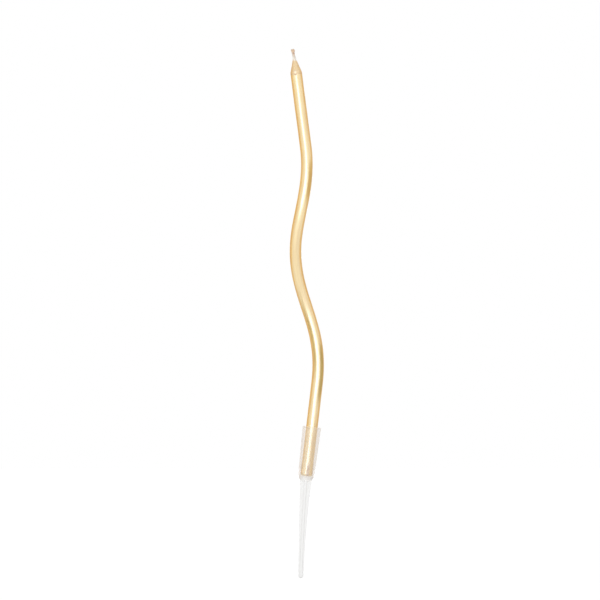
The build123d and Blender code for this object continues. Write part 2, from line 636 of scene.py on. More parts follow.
@dataclass(frozen=True)
class Lean:
    """The cup's own axes: up its bore, to its right and to its back."""

    to_right: float = math.radians(6.73)
    to_back: float = math.radians(2.86)

    @property
    def up(self) -> np.ndarray:
        """Direction up the bore."""
        return unit(np.array([math.tan(self.to_right), math.tan(self.to_back), 1.0]))

    @property
    def right(self) -> np.ndarray:
        """Direction across the bore, to the right."""
        return unit(np.cross(BACKWARDS, self.up))

    @property
    def back(self) -> np.ndarray:
        """Direction across the bore, to the back."""
        return np.cross(self.up, self.right)


@dataclass(frozen=True)
class Route:
    """Centreline of the rod: a straight foot, a helix that the foot meets tangent, and a straight tip."""

    lean: Lean
    seat_height: float = 1.8 * MM
    foot_length: float = 39.2 * MM
    winding_radius: float = 3.47 * MM
    winding_pitch: float = 84.0 * MM
    winding_turns: float = 1.166
    winding_start: float = math.radians(-43.2)
    tip_length: float = 31.9 * MM

    @property
    def wound_length(self) -> float:
        """Length along the helix: turns times the slant length of one turn."""
        return self.winding_turns * math.hypot(self.winding_pitch, math.tau * self.winding_radius)

    @property
    def cone_base(self) -> float:
        """Distance from the foot to where the cone starts."""
        return self.foot_length + self.wound_length + self.tip_length

    def places(self, run: np.ndarray) -> tuple[np.ndarray, np.ndarray]:
        """Points and directions of the centreline.

        A point is the helix's centre, plus its radius turned by the angle that the run has reached, plus
        its climb; what the run has short of the helix or past it goes straight along the direction there.

        Args:
            run: distances from the foot, in an array of any shape.

        Returns:
            Points and unit directions, with one axis of 3 more than the run.
        """
        up = self.lean.up
        slant = math.atan2(math.tau * self.winding_radius, self.winding_pitch)
        start = self.winding_start
        outward = self.lean.right * math.cos(start) + self.lean.back * math.sin(start)
        axis = up * math.cos(slant) - np.cross(up, outward) * math.sin(slant)
        around = np.cross(axis, outward)
        centre = up * (self.seat_height + self.foot_length) - outward * self.winding_radius
        past_foot = np.asarray(run)[..., None] - self.foot_length
        wound = np.clip(past_foot, 0, self.wound_length)
        angle = math.tau * self.winding_turns * wound / self.wound_length
        onward = axis * math.cos(slant) + (around * np.cos(angle) - outward * np.sin(angle)) * math.sin(slant)
        spoke = (outward * np.cos(angle) + around * np.sin(angle)) * self.winding_radius
        climb = axis * (self.winding_pitch * angle / math.tau)
        return centre + spoke + climb + onward * (past_foot - wound), onward

    def rings(self, run: np.ndarray, radius: np.ndarray, angle: np.ndarray) -> np.ndarray:
        """Points round the centreline.

        Args:
            run: distances from the foot.
            radius: distances from the centreline.
            angle: angles round it.

        Returns:
            Points, for the three arrays spread to one shape.
        """
        run, radius, angle = np.broadcast_arrays(run, radius, angle)
        return round_line(*self.places(run), radius, angle)


@dataclass(frozen=True)
class Wave:
    """A sine wave round the rod, and along it where it has a length."""

    height: float
    around: int
    phase: float = 0.0
    length: float = math.inf

    def at(self, angle: np.ndarray, run: np.ndarray | float = 0.0) -> np.ndarray:
        """Its height times the sine of (a turn per length of the run + around * angle + phase)."""
        return self.height * np.sin(math.tau * run / self.length + self.around * angle + self.phase)


@dataclass(frozen=True)
class Drip:
    """A tongue of gold at the border between the rod and its trimmed cone."""

    angle: float
    drop: float
    width: float
    height: float


@dataclass(frozen=True)
class Trim:
    """Relief and looks of the trimmed cone, with levels counted up from its border."""

    border_drop: float = 0.85 * MM
    shoulder: float = 0.12 * MM
    look_band: Band = (-0.2 * MM, 0.3 * MM)
    drips: tuple[Drip, ...] = (
        Drip(angle=math.radians(-100), drop=0.42 * MM, width=0.6 * MM, height=0.2 * MM),
        Drip(angle=math.radians(-52), drop=0.05 * MM, width=0.5 * MM, height=0.06 * MM),
        Drip(angle=math.radians(62), drop=0.3 * MM, width=0.65 * MM, height=0.1 * MM),
        Drip(angle=math.radians(160), drop=0.2 * MM, width=0.8 * MM, height=0.07 * MM),
    )
    crest_level: float = 1.25 * MM
    crest_width: float = 0.5 * MM
    crest_film: float = 0.9
    # How much painted highlight the tongues' crests get in the pale colour.
    crest_highlight: float = 0.6
    # Where the painted shade of the creased border lies, how wide it is, and how faint away from the main
    # tongue.
    crease_level: float = -0.03 * MM
    crease_width: float = 0.3 * MM
    least_crease: float = 0.3
    bead_height: float = 0.03 * MM
    bead_level: float = 0.24 * MM
    bead_width: float = 0.17 * MM
    groove_depth: float = 0.08 * MM
    groove_width: float = 0.18 * MM
    least_groove: float = 0.25
    flutes: Wave = Wave(height=0.014 * MM, around=11)
    fine_flutes: Wave = Wave(height=0.0084 * MM, around=17, phase=2.1)
    flute_sway: Wave = Wave(height=1.3 / 11, around=3)
    flute_band: Band = (0.4 * MM, 1.6 * MM)
    flute_fade: float = 1.0 * MM
    edge_waves: tuple[Wave, ...] = (
        Wave(height=0.42 * MM, around=1, phase=0.3 - math.pi / 2),
        Wave(height=0.1 * MM, around=5, phase=1.0),
    )
    ragged_start: float = 2.0 * MM
    worn_length: float = 0.9 * MM


@dataclass(frozen=True)
class Cord:
    """The wick's cord: plies of yarn, a free end that flares, its stain and its loose fibres."""

    diameter: float = 1.2 * MM
    free_length: float = 3.8 * MM
    hidden_margin: float = 1.0 * MM
    hidden_rows: int = 520
    free_rows: int = 170
    bend: float = 0.17 * MM
    bend_band: Band = (1.4 * MM, 3.4 * MM)
    plies: int = 3
    ply_lay: float = 3.4 * MM
    ply_radius: float = 0.33 * MM
    ply_inset: float = 0.31 * MM
    ply_swell: float = 0.25
    ply_rounding: float = 0.16 * MM
    ply_end: float = 0.02
    ply_sides: int = 18
    yarns: int = 5
    yarn_lay: float = 1.3 * MM
    yarn_relief: float = 0.05
    flare: float = 0.2 * MM
    flare_length: float = 2.3 * MM
    flare_curve: float = 1.5
    pinch: float = 0.03 * MM
    pinch_depth: float = 1.9 * MM
    pinch_width: float = 0.8 * MM
    stain_reach: float = 2.2 * MM
    stain_spread: float = 0.7 * MM
    stain_blend: float = 0.7 * MM
    spot_depth: float = 1.75 * MM
    spot_angle: float = math.radians(-70)
    spot_width: float = 0.42 * MM
    fibre_seed: int = 7
    fibre_count: int = 26
    fibre_rows: int = 9
    fibre_sides: int = 6
    fibre_root: float = 0.65 * MM
    fibre_radius: float = 0.028 * MM
    fibre_taper: float = 0.75
    fibre_turn: float = 0.5
    fibre_inner: Band = (0.05 * MM, 0.5 * MM)
    fibre_length: Band = (0.45 * MM, 0.72 * MM)
    fibre_lean: Band = (0.02 * MM, 0.24 * MM)


@dataclass
class Candle:
    """Wick, wax rod and gold overdip on one route."""

    route: Route
    trim: Trim = Trim()
    cord: Cord = Cord()
    columns: int = 96
    diameter: float = 4.8 * MM
    coat_thickness: float = 0.2 * MM
    coat_edge_thickness: float = 0.03 * MM
    film_gap: float = 0.008 * MM
    foot_rounding: float = 0.8 * MM
    foot_hole: float = 0.08
    foot_rows: int = 6
    turn_rows: int = 11
    body_rows: int = 340
    top_length: float = 1.6 * MM
    top_rows: int = 120
    lip_rows: int = 7
    lining_cone_rows: int = 10
    lining_rows: int = 120
    lining_hole: float = 0.05
    dipping_waves: tuple[Wave, ...] = (
        Wave(height=0.012 * MM, around=2, length=17.0 * MM),
        Wave(height=0.0168 * MM, around=-1, phase=1.3, length=29.0 * MM),
        Wave(height=0.0048 * MM, around=3, phase=0.4, length=7.3 * MM),
    )
    calm_foot: Band = (24.0 * MM, 38.0 * MM)
    calm_tip: Band = (-3.0 * MM, 0.0)
    cone_length: float = 6.0 * MM
    cone_hollow: float = 1.35 * MM
    wax_top_diameter: float = 1.3 * MM
    wax_climb: float = 0.9 * MM
    wick_clearance: float = 0.015 * MM
    wax_foot_rows: int = 5
    core_rows: int = 130
    cone_rows: int = 70
    collar_rows: int = 10
    collar_curve: float = 1.3
    collar_waves: tuple[Wave, ...] = (
        Wave(height=0.2 * MM, around=2, phase=0.6),
        Wave(height=0.12 * MM, around=3, phase=2.0),
    )
    bare_wax_length: float = 0.55 * MM
    bare_wax_blend: float = 0.3 * MM
    dimple_depth: float = 0.03 * MM

    @property
    def radius(self) -> float:
        """Outer radius of the rod."""
        return self.diameter / 2

    @property
    def core_radius(self) -> float:
        """Radius of the wax under the film."""
        return self.radius - self.coat_thickness

    @property
    def angles(self) -> np.ndarray:
        """Angles of the columns round the rod."""
        return np.arange(self.columns) * math.tau / self.columns

    def wax_radius(self, run: np.ndarray) -> np.ndarray:
        """Radius of the wax: the core, then a taper to the wick that hollows a little near its top.

        Args:
            run: distances from the foot.

        Returns:
            The wax's radius there.
        """
        share = np.clip((run - self.route.cone_base) / self.cone_length, 0, 1)
        taper = (self.wax_top_diameter / 2 - self.core_radius) * share
        return self.core_radius + taper - self.cone_hollow * share**4 * (1 - share)

    def straight(self, run: np.ndarray, radius: np.ndarray, angle: np.ndarray) -> np.ndarray:
        """Coordinates of the rod as if it were straight, for patterns that follow it.

        Args:
            run: distances from the foot.
            radius: distances from the centreline.
            angle: angles round it.

        Returns:
            Points (radius * cos angle, radius * sin angle, run).
        """
        run, radius, angle = np.broadcast_arrays(run, radius, angle)
        return np.stack([radius * np.cos(angle), radius * np.sin(angle), run], -1)

    def coat(self) -> Surface:
        """The gold film: outside from the foot's middle up to the cone's edge, then back down the wax.

        The outer radius is the rod's, with slow waves from dipping; past the border it follows the wax's
        taper, with a bead, a groove, tongues and flutes where the cone was trimmed.

        Returns:
            The film as one closed shell.
        """
        base = self.route.cone_base
        edge = base + self.cone_length - self.bare_wax_length
        top_start = base - self.top_length
        rounding = self.foot_rounding
        turn = np.linspace(-math.pi / 2, 0, self.turn_rows)[1:]
        under = np.linspace(self.foot_hole, 1, self.foot_rows) * (self.radius - rounding)
        body = np.linspace(rounding, top_start, self.body_rows)[1:]
        top = np.linspace(top_start, edge, self.top_rows)[1:]
        outer_run = np.concatenate([0 * under, rounding * (1 + np.sin(turn)), body, top])
        foot_radius = np.concatenate([under, self.radius - rounding * (1 - np.cos(turn))])[:, None]
        foot_radius = np.pad(foot_radius, ((0, len(body) + len(top)), (0, 0)), constant_values=self.radius)

        lip = np.linspace(0, math.pi, self.lip_rows)[1:-1]
        inner_cone = np.linspace(edge, base, self.lining_cone_rows)
        inner_body = np.linspace(base, rounding, self.lining_rows)[1:]
        inner_foot = np.linspace(1, self.lining_hole, self.foot_rows)
        half_edge = self.coat_edge_thickness / 2
        inner_run = np.concatenate(
            [edge + half_edge * np.sin(lip), inner_cone, inner_body, self.coat_thickness + 0 * inner_foot]
        )
        over_wax = np.concatenate(
            [half_edge * (1 + np.cos(lip)), np.full(len(inner_cone) + len(inner_body), self.film_gap)]
        )
        foot_inside = (self.core_radius - rounding / 2) * inner_foot[:, None] + 0 * self.angles

        level = np.concatenate([outer_run, inner_run])[:, None]
        ragged = sum(wave.at(self.angles) for wave in self.trim.edge_waves)
        run = level + ragged * ease(level, base + self.trim.ragged_start, edge)
        outside, lining = run[: len(outer_run)], run[len(outer_run) : -len(inner_foot)]
        skin, trimmed, crease, crest = self.trimmed_skin(outside, foot_radius, self.angles)
        least = np.where(outside > base, self.wax_radius(outside) + self.coat_edge_thickness, 0)
        lining_radius = self.wax_radius(lining) + over_wax[:, None]
        radius = np.concatenate([np.maximum(skin, least), lining_radius, foot_inside])
        hidden = np.zeros((len(inner_run), self.columns))
        # The thin field holds the film's wear at its edge and a painted highlight on the tongues' crests.
        crest_highlight = np.concatenate([self.trim.crest_highlight * crest, hidden])
        fields = {
            "straight": self.straight(run, radius, self.angles),
            "trimmed": np.concatenate([trimmed, hidden + 1]),
            "crease": np.concatenate([crease, hidden]),
            "thin": ease(level, edge - self.trim.worn_length, edge) + crest_highlight,
        }
        return Surface.capped(self.route.rings(run, radius, self.angles), fields)

    def trimmed_skin(
        self, run: np.ndarray, radius: np.ndarray, angle: np.ndarray
    ) -> tuple[np.ndarray, np.ndarray, np.ndarray, np.ndarray]:
        """Outer radius of the film with its dipping waves and its trimmed cone.

        Args:
            run: distances from the foot, rows by columns.
            radius: the rod's radius in those rows, rounded at the foot.
            angle: angles of the columns.

        Returns:
            The radius, and from 0 to 1 how far the place is trimmed, how much painted shade it takes where
            the border creases, and how much painted highlight it takes near a tongue's crest.
        """
        trim = self.trim
        base = self.route.cone_base
        coated = self.cone_length - self.bare_wax_length
        edge_radius = self.wax_radius(np.array(base + coated)) + self.coat_edge_thickness
        taper = (self.radius - edge_radius) / coated
        past = run - base
        radius = radius - taper * (past + np.sqrt(past**2 + trim.shoulder**2)) / 2

        tongues = np.zeros_like(angle)
        drop = np.zeros_like(angle)
        swell = np.zeros_like(angle)
        for drip in trim.drips:
            away = (angle - drip.angle + math.pi) % math.tau - math.pi
            reach = bell(away * self.radius, drip.width)
            tongues = tongues + reach
            drop = drop + drip.drop * reach
            swell = swell + drip.height * reach
        above = past + trim.border_drop + drop
        strength = np.clip(swell / trim.drips[0].height, 0, 1)
        crest = bell(above - trim.crest_level, trim.crest_width)
        trimmed = ease(above, *trim.look_band) * (1 - trim.crest_film * strength * crest)
        # Painted shade along the creased border, strongest under the main tongue.
        crease = bell(above - trim.crease_level, trim.crease_width)
        crease = crease * (trim.least_crease + (1 - trim.least_crease) * strength)
        bead = trim.bead_height * bell(above - trim.bead_level, trim.bead_width)
        groove = trim.groove_depth * bell(above, trim.groove_width)
        groove = groove * np.clip(trim.least_groove + tongues, 0, 1)
        flutes = trim.flutes.at(angle + trim.flute_sway.at(angle)) + trim.fine_flutes.at(angle)
        flutes = flutes * ease(above, *trim.flute_band) * (1 - ease(past, coated - trim.flute_fade, coated))

        waves = sum(wave.at(angle, run) for wave in self.dipping_waves)
        calm = ease(run, *self.calm_foot) * (1 - ease(past, *self.calm_tip))
        radius = radius + bead - groove + swell * crest + flutes + waves * calm
        return radius, trimmed, crease, strength * crest

    def wax(self) -> Surface:
        """The wax rod round the wick's bore, with a ragged collar that climbs the wick.

        Its rows go out under the foot, up the core, the cone and the collar, and down the bore.

        Returns:
            The wax as one closed shell round its bore.
        """
        base = self.route.cone_base
        tip = base + self.cone_length
        bore = self.cord.diameter / 2 + self.wick_clearance
        under = np.linspace(bore, self.core_radius - self.foot_rounding / 2, self.wax_foot_rows)
        core = np.linspace(self.foot_rounding, base, self.core_rows)
        cone = np.linspace(base, tip, self.cone_rows)[1:]
        collar = np.linspace(0, 1, self.collar_rows)[1:]
        down = np.linspace(tip + self.wax_climb, self.coat_thickness, self.core_rows)[1:-1]
        rim = self.wax_top_diameter / 2
        run = np.concatenate(
            [self.coat_thickness + 0 * under, core, cone, tip + self.wax_climb * collar, down]
        )[:, None]
        pinched = self.cord.diameter / 4
        narrow = pinched + (bore - pinched) * (1 - ease(down, tip - 2 * self.wax_climb, tip + self.wax_climb))
        radius = np.concatenate(
            [
                under,
                self.wax_radius(core),
                self.wax_radius(cone),
                rim + (pinched - rim) * collar**self.collar_curve,
                narrow,
            ]
        )[:, None]
        outside = np.arange(len(run))[:, None] < len(run) - len(down)
        bare = ease(run, tip - self.bare_wax_length - self.bare_wax_blend, tip) * outside
        angle = self.angles
        ragged = sum(wave.at(angle) for wave in self.collar_waves)
        dimples = Wave(height=self.dimple_depth, around=self.cord.plies, length=self.cord.ply_lay)
        radius = radius + bare * dimples.at(angle, run)
        run = run + bare * ragged
        fields = {"straight": self.straight(run, radius, angle)}
        return Surface.looped(self.route.rings(run, radius, angle), fields)

    def wick(self) -> Surface:
        """The wick: plies twisted round the centreline, of yarns twisted the other way, with frayed ends.

        A ply's centre turns once round the centreline per lay; its radius swells and sinks with its yarns;
        at the free end the plies spread and each is rounded off.

        Returns:
            All the plies and fibres as one surface.
        """
        cord = self.cord
        sideways = self.route.lean.right
        tip = self.route.cone_base + self.cone_length + cord.free_length
        shown = tip - cord.free_length - self.bare_wax_length - cord.hidden_margin
        hidden = np.linspace(self.coat_thickness, shown, cord.hidden_rows)
        free = np.linspace(shown, tip, cord.free_rows)[1:]
        run = np.concatenate([hidden, free])
        spread = cord.flare * ease(run, tip - cord.flare_length, tip) ** cord.flare_curve
        pinch = cord.pinch * bell(run - (tip - cord.pinch_depth), cord.pinch_width)
        bend = cord.bend * ease(run - shown, *cord.bend_band)
        offset = cord.diameter / 2 - cord.ply_inset + spread - pinch
        ends = np.minimum(run - self.coat_thickness, tip - run)
        rounded = 1 - (1 - np.clip(ends / cord.ply_rounding, 0, 1)) ** 2
        ply_radius = (cord.ply_radius + cord.ply_swell * spread) * np.sqrt(np.clip(rounded, cord.ply_end, 1))
        angle = np.arange(cord.ply_sides) * math.tau / cord.ply_sides
        yarns = 1 + cord.yarn_relief * np.cos(cord.yarns * angle - run[:, None] * math.tau / cord.yarn_lay)
        radius = ply_radius[:, None] * yarns
        strand = self.straight(run[:, None], radius, angle)
        spot_place = self.route.rings(tip - cord.spot_depth, cord.diameter / 2, cord.spot_angle)
        spot_place = spot_place - cord.bend * sideways
        surfaces = []
        for number in range(cord.plies):
            start = math.tau * number / cord.plies
            centre = self.route.rings(run, offset, math.tau * run / cord.ply_lay + start)
            centre = centre - bend[:, None] * sideways
            onward = unit(np.gradient(centre, run, axis=0))
            grid = round_line(centre[:, None], onward[:, None], radius, angle)
            darkened = tip - cord.stain_reach - cord.stain_spread * math.cos(start)
            stain = ease(strand[..., 2], darkened, darkened + cord.stain_blend)
            spot = bell(np.linalg.norm(grid - spot_place, axis=-1), cord.spot_width)
            surfaces.append(Surface.capped(grid, {"stain": stain, "spot": spot, "strand": strand}))
        return Surface.joined(surfaces + self.fibres(tip))

    def fibres(self, tip: float) -> list[Surface]:
        """Loose fibres at the wick's cut end: thin tapered tubes that curl outwards.

        A fibre's centre rises from inside the plies and leans out with the square of its height.

        Args:
            tip: the run at the wick's cut end.

        Returns:
            One closed surface for each fibre.
        """
        cord = self.cord
        chance = np.random.default_rng(cord.fibre_seed)
        rise = np.linspace(0, 1, cord.fibre_rows)
        angle = np.arange(cord.fibre_sides) * math.tau / cord.fibre_sides
        taper = cord.fibre_radius * (1 - cord.fibre_taper * rise)
        stain = np.ones((len(rise), len(angle)))
        made = []
        for _ in range(cord.fibre_count):
            start = chance.uniform(0, math.tau)
            inner = chance.uniform(*cord.fibre_inner)
            length = chance.uniform(*cord.fibre_length)
            lean = chance.uniform(*cord.fibre_lean)
            run = tip - cord.fibre_root + length * rise
            centre = self.route.rings(run, inner + lean * rise**2, start + cord.fibre_turn * rise)
            centre = centre - cord.bend * self.route.lean.right
            ring = self.route.rings(run[:, None], taper[:, None], angle)
            middle = self.route.rings(run, 0.0, 0.0)
            grid = ring - middle[:, None] + centre[:, None]
            made.append(Surface.capped(grid, {"stain": stain, "spot": 0 * stain, "strand": grid}))
        return made

    def build(self) -> None:
        """Make the three pieces and dress each in its finish."""
        self.wick().piece("wick_cord", PliedCotton().material(), Body.CANDLE, Slot.COTTON, "wick")
        self.wax().piece("wax_rod", Paraffin().material(), Body.CANDLE, Slot.WAX, "wax_core")
        self.coat().piece("gold_film", GoldOverdip().material(), Body.CANDLE, Slot.GOLD, "gold_coat")


@dataclass
class Holder:
    """The moulded holder: ribbed cup, shoulder and four-finned cake spike."""

    lean: Lean
    rim_diameter: float = 7.65 * MM
    base_diameter: float = 6.75 * MM
    cup_height: float = 20.4 * MM
    wall: float = 0.6 * MM
    rim_rounding: float = 0.25 * MM
    shoulder_height: float = 2.15 * MM
    shoulder_end_diameter: float = 5.1 * MM
    shoulder_rounding: float = 0.14 * MM
    floor_height: float = 1.7 * MM
    rib_width: float = 1.2 * MM
    rib_grip_height: float = 4.1 * MM
    rib_lead_height: float = 3.4 * MM
    rib_turn: float = math.radians(9.0)
    grip_radius: float = 2.45 * MM
    spike_length: float = 40.6 * MM
    spike_top_width: float = 4.95 * MM
    spike_middle_width: float = 2.9 * MM
    spike_end_width: float = 2.06 * MM
    fin_thickness: float = 1.0 * MM
    fin_root: float = 0.22 * MM
    fin_corner: float = 0.13 * MM
    underside_drop: float = 0.3 * MM
    bow_middle: float = 1.1 * MM
    bow_end: float = 2.65 * MM
    quarter: tuple[int, ...] = (4, 8, 5, 4, 5, 8, 4)
    rib_foot_share: float = 1.04
    rib_crest_share: float = 0.82
    rib_run_in: float = 0.4 * MM
    lip_rounding: float = 0.12 * MM
    shoulder_band: float = 0.8 * MM
    floor_fillet: float = 0.25 * MM
    floor_hole: float = 0.06
    point_start: float = math.radians(8.0)
    point_rows: int = 12
    fin_rows: int = 90
    underside_rows: int = 10
    lip_rows: int = 6
    shoulder_rows: int = 22
    wall_rows: int = 26
    rim_rows: int = 13
    bore_rows: int = 18
    rib_rows: int = 44
    fillet_rows: int = 6
    floor_rows: int = 6
    thick_band: Band = (-0.4 * MM, 0.3 * MM)
    warm_band: Band = (-1.0 * MM, 3.0 * MM)
    wall_milk: float = 0.33
    lip_clearing: float = 0.45
    lip_clearing_width: float = 0.3 * MM
    bore_milk: float = 0.04
    rib_milk: float = 0.55

    @property
    def rim_height(self) -> float:
        """Height of the rim over the spike's top."""
        return self.shoulder_height + self.cup_height

    def outer_radius(self, height: np.ndarray) -> np.ndarray:
        """Radius of the cup outside: the lesser of shoulder and wall, rounded where they meet.

        Args:
            height: heights up the cup's axis.

        Returns:
            Half of (shoulder + wall - the root of their difference squared plus a rounding squared).
        """
        end = self.shoulder_end_diameter / 2
        base = self.base_diameter / 2
        rim = self.rim_diameter / 2
        shoulder = end + (base - end) * height / self.shoulder_height
        wall = base + (rim - base) * (height - self.shoulder_height) / self.cup_height
        return (shoulder + wall - np.sqrt((shoulder - wall) ** 2 + self.shoulder_rounding**2)) / 2

    def bore_radius(self, height: np.ndarray) -> np.ndarray:
        """Radius of the bore: a straight taper from floor to rim, one wall inside the cup's sides."""
        base = self.base_diameter / 2 - self.wall
        rim = self.rim_diameter / 2 - self.wall
        return base + (rim - base) * (height - self.floor_height) / (self.rim_height - self.floor_height)

    @staticmethod
    def factors(across: tuple[float | np.ndarray, ...], over: tuple[float | np.ndarray, ...]) -> np.ndarray:
        """Factors of the four sizes for some columns, for the way across the spike and the way over it."""
        return np.stack([np.stack(np.broadcast_arrays(*way), -1) for way in (across, over)], 1)

    def fin_section(self, sizes: np.ndarray) -> np.ndarray:
        """Outline of the four fins, the same number of points for every row.

        Each quarter runs along half a root fillet, a flank, a corner, the fin's edge, a corner, a flank and
        half a root fillet. Every point is a sum of the fin's width, half thickness, root and corner radius,
        each times a factor of its column, so one matrix product makes all the rows.

        Args:
            sizes: width, half thickness, root radius and corner radius, one row for each section.

        Returns:
            Points across the spike, rows by columns by 2.
        """
        root, flank, corner, edge = (np.arange(count) / count for count in self.quarter[:4])
        fillet = math.radians(135) - root * math.radians(45)
        rounding = (corner - 1) * math.radians(90)
        rising = np.concatenate(
            [
                self.factors((0, 1, 1 + np.cos(fillet), 0), (0, -1, np.sin(fillet) - 1, 0)),
                self.factors((flank, 1 - flank, 1 - flank, -flank), (0, -1, 0 * flank, 0)),
                self.factors((1, 0, 0, np.cos(rounding) - 1), (0, -1, 0, np.sin(rounding) + 1)),
            ]
        )
        level = self.factors((1, 0, 0, 0 * edge), (0, 2 * edge - 1, 0, 1 - 2 * edge))
        mirror = np.array([[1.0], [-1.0]])
        falling = np.concatenate([rising[1:], level[:1]])[::-1] * mirror
        fin = np.concatenate([rising, level, falling])
        points = np.einsum("rs,cas->rca", sizes, fin)
        x, y = points[..., 0], points[..., 1]
        turned = [np.stack(pair, -1) for pair in ((x, y), (-y, x), (-x, -y), (y, -x))]
        return np.concatenate(turned, 1)

    def build(self) -> None:
        """Make the moulding and dress it in its finish."""
        plastic = FrostedPlastic().material()
        self.moulding().piece("holder_moulding", plastic, Body.HOLDER, Slot.PLASTIC, "candle_holder")

    def bowed(self, height: np.ndarray, top: float, middle: float, end: float) -> np.ndarray:
        """A size down the spike: the parabola through its top, middle and end.

        Args:
            height: heights, zero at the top and negative down the spike.
            top, middle, end: the size at the top, half way and where the point starts.

        Returns:
            The size at those heights.
        """
        share = -height / (self.spike_length - self.spike_end_width / 2)
        from_top = top * (1 - share) * (1 - 2 * share)
        from_middle = 4 * middle * share * (1 - share)
        return from_top + from_middle + end * share * (2 * share - 1)

    def spike_rows(self) -> tuple[np.ndarray, np.ndarray]:
        """Sections of the spike from its point up to the underside of the cup.

        At the point the section shrinks with the sine of an angle, as on a ball.

        Returns:
            Heights, and points across the spike, rows by columns by 2.
        """
        round_off = self.spike_end_width / 2
        straight = self.spike_length - round_off
        turn = np.linspace(self.point_start, math.pi / 2, self.point_rows)
        fins = np.linspace(-straight, -self.underside_drop, self.fin_rows)[1:]
        height = np.concatenate([-straight - round_off * np.cos(turn), fins])
        shrink = np.concatenate([np.sin(turn), np.ones(len(fins))])
        level = np.maximum(height, -straight)
        width = self.bowed(
            level, self.spike_top_width / 2, self.spike_middle_width / 2, self.spike_end_width / 2
        )
        half = 0 * width + self.fin_thickness / 2
        sizes = np.stack([width, half, 0 * width + self.fin_root, 0 * width + self.fin_corner], -1)
        across = self.fin_section(sizes * shrink[:, None])
        across[..., 0] += self.bowed(level, 0.0, self.bow_middle, self.bow_end)[:, None]
        return height, across

    def cup_rows(self) -> tuple[np.ndarray, np.ndarray, int]:
        """Rows of the cup: round its lower lip, up its side, over the rim, down the bore and over its floor.

        Returns:
            Heights and radii of the rows, and how many of them lie outside.
        """
        lip = self.lip_rounding
        fillet = self.floor_fillet
        shoulder_top = self.shoulder_height + self.shoulder_band
        rim_start = self.rim_height - self.rim_rounding
        rib_top = self.floor_height + self.rib_grip_height + self.rib_lead_height + self.rib_run_in
        rim_level = np.array(self.rim_height)
        rim_middle = (self.outer_radius(rim_level) + self.bore_radius(rim_level)) / 2
        lip_radius = self.outer_radius(np.array(lip))
        floor_radius = self.bore_radius(np.array(self.floor_height)) - fillet

        bend = np.linspace(-math.pi / 2, 0, self.lip_rows)[1:]
        shoulder = np.linspace(lip, shoulder_top, self.shoulder_rows)[1:]
        wall = np.linspace(shoulder_top, rim_start, self.wall_rows)[1:]
        side = np.concatenate([shoulder, wall])
        over = np.linspace(0, math.pi, self.rim_rows)[1:-1]
        plain = np.linspace(rim_start, rib_top, self.bore_rows)
        ribbed = np.linspace(rib_top, self.floor_height + fillet, self.rib_rows)[1:]
        inside = np.concatenate([plain, ribbed])
        corner = np.linspace(0, math.pi / 2, self.fillet_rows)[1:]
        floor = np.linspace(1, self.floor_hole, self.floor_rows)[1:]
        height = np.concatenate(
            [
                lip * (1 + np.sin(bend)),
                side,
                self.rim_height - self.rim_rounding * (1 - np.sin(over)),
                inside,
                self.floor_height + fillet * (1 - np.sin(corner)),
                self.floor_height + 0 * floor,
            ]
        )
        radius = np.concatenate(
            [
                lip_radius - lip * (1 - np.cos(bend)),
                self.outer_radius(side),
                rim_middle + self.wall / 2 * np.cos(over),
                self.bore_radius(inside),
                floor_radius + fillet * np.cos(corner),
                floor_radius * floor,
            ]
        )
        return height, radius, len(bend) + len(side)

    def moulding(self) -> Surface:
        """The whole holder as one skin: up the spike, out under the cup, up its side, and down inside.

        Columns that follow a fin's edge on the spike follow a grip rib inside, so they turn on the way.

        Returns:
            The holder as one closed surface.
        """
        spike_height, spike = self.spike_rows()
        top = spike[-1:]
        turned = np.unwrap(np.arctan2(top[..., 1], top[..., 0]))
        lip = self.lip_rounding
        under = np.linspace(0, 1, self.underside_rows)[1:]
        under_ring = np.stack([np.cos(turned), np.sin(turned)], -1) * (self.outer_radius(np.array(lip)) - lip)
        under_rows = top + (under_ring - top) * under[:, None, None]
        under_height = -self.underside_drop * (1 - under) ** 2

        height, radius, outside = self.cup_rows()
        inner = np.arange(len(height)) >= outside
        ribbed, rib_angle = self.rib_columns()
        depth = np.clip(self.bore_radius(height) - self.grip_radius, 0, None)
        lead = 1 - np.clip((height - self.floor_height - self.rib_grip_height) / self.rib_lead_height, 0, 1)
        reach = np.where(inner & (height < self.rim_height - self.rim_rounding), depth * lead, 0)
        reach = reach * np.minimum(radius / self.bore_radius(np.array(self.floor_height)), 1)
        share = np.where(inner, 1.0, ease(height, self.shoulder_height, self.rim_height))[:, None]
        angle = turned * (1 - share) + rib_angle * share
        spoke = np.stack([np.cos(angle), np.sin(angle)], -1)
        ring = (radius[:, None] - reach[:, None] * ribbed)[..., None] * spoke
        plain_rows = np.zeros((len(spike_height) + len(under), ring.shape[1]))
        reach_rows = np.concatenate([plain_rows, (reach > 0)[:, None] * lead[:, None] ** 2 * ribbed])

        across = np.concatenate([spike, under_rows, ring])
        level = np.concatenate([spike_height, under_height, height])[:, None] + 0 * across[..., 0]
        upright = np.concatenate([across, level[..., None]], -1)
        axes = np.stack([self.lean.right, self.lean.back, self.lean.up])
        outer_rows = len(plain_rows) + outside
        inside_rows = (np.arange(len(level)) >= outer_rows)[:, None] + 0 * level
        fields = {"upright": upright, **self.haze(level, inside_rows, reach_rows)}
        return Surface.capped(upright @ axes, fields)

